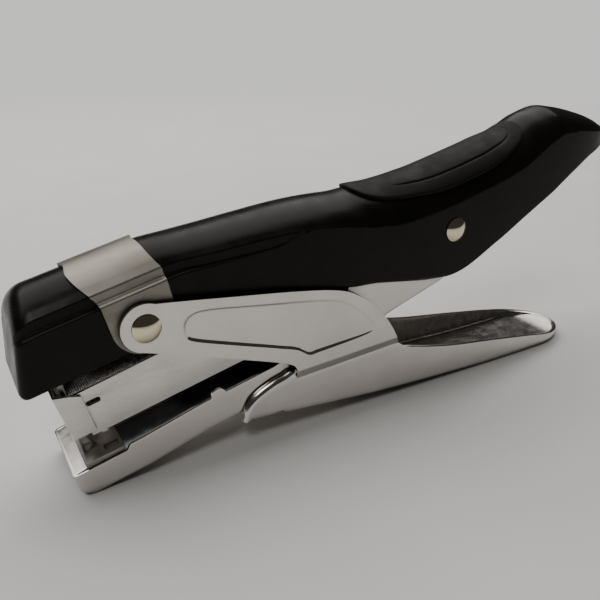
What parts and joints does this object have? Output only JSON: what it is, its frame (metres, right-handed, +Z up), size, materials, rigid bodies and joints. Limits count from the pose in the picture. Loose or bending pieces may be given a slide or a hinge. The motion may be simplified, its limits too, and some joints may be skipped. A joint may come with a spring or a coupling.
{
  "type": "plier stapler",
  "caption": "Hand-held plier stapler: squeezing the lower handle lifts the anvil jaw and magazine against the driver in the head.",
  "frame": {"origin": "middle of the footprint, on the table the tool stands on", "axes": "+Z up from the table, +X from the nose towards the tail, mid plane at Y = 0"},
  "size_m": [0.1756, 0.0276, 0.0727],
  "materials": {
    "black_plastic": "moulded black plastic, satin gloss",
    "grip_rubber": "matte charcoal rubber",
    "plated_steel": "zinc plated sheet",
    "spring_steel": "hardened, oiled",
    "satin_nickel": "satin nickel plate",
    "chrome_rivet": "polished domed rivet",
    "chromed_steel": "bright chrome plate on pressed sheet",
    "staple_wire": "galvanised wire",
    "dull_steel": "hardened dull grey steel",
    "black_nylon": "moulded nylon"
  },
  "bodies": {
    "upper_handle": {"handle_shell": "black_plastic", "grip_pad": "grip_rubber", "inner_frame": "plated_steel", "driver_blade": "spring_steel", "driver_rivets": "plated_steel", "head_saddle": "satin_nickel", "front_pivot_rivet": "chrome_rivet", "rear_pivot_rivet": "chrome_rivet", "pivot_spacer": "plated_steel", "return_spring": "spring_steel", "magazine_leaf_spring": "spring_steel"},
    "magazine": {"magazine_channel": "plated_steel", "magazine_front_cap": "plated_steel", "staple_rail": "plated_steel", "staple_strip": "staple_wire", "spring_anchor": "plated_steel", "feed_rod": "plated_steel", "feed_spring": "spring_steel"},
    "pusher": {"pusher": "black_nylon"},
    "jaw": {"anvil_arm": "chromed_steel", "anvil_plate": "dull_steel"},
    "lower_handle": {"lower_handle": "chromed_steel", "thrust_pad": "black_nylon"}
  },
  "joints": [
    {"name": "handle_pivot", "type": "hinge", "parent": "upper_handle", "child": "lower_handle", "pos_m": [-0.0616, 0, 0.03803], "axis": [0, -1, 0], "range_deg": [0, 13]},
    {"name": "jaw_pivot", "type": "hinge", "parent": "upper_handle", "child": "jaw", "pos_m": [0.02315, 0, 0.04513], "axis": [0, 1, 0], "range_deg": [0, 6.51], "deforming": ["return_spring"]},
    {"name": "magazine_pivot", "type": "hinge", "parent": "upper_handle", "child": "magazine", "pos_m": [0.02315, 0, 0.04513], "axis": [0, 1, 0], "range_deg": [0, 4.04], "deforming": ["magazine_leaf_spring"]},
    {"name": "pusher_slide", "type": "slide", "parent": "magazine", "child": "pusher", "axis": [0.9748, 0, 0.2233], "range_m": [0, 0.03], "deforming": ["feed_spring"]}
  ],
  "couplings": [
    {"joint": "jaw_pivot", "follows": "handle_pivot", "ratio": 0.5},
    {"joint": "magazine_pivot", "follows": "handle_pivot", "ratio": 0.31}
  ]
}
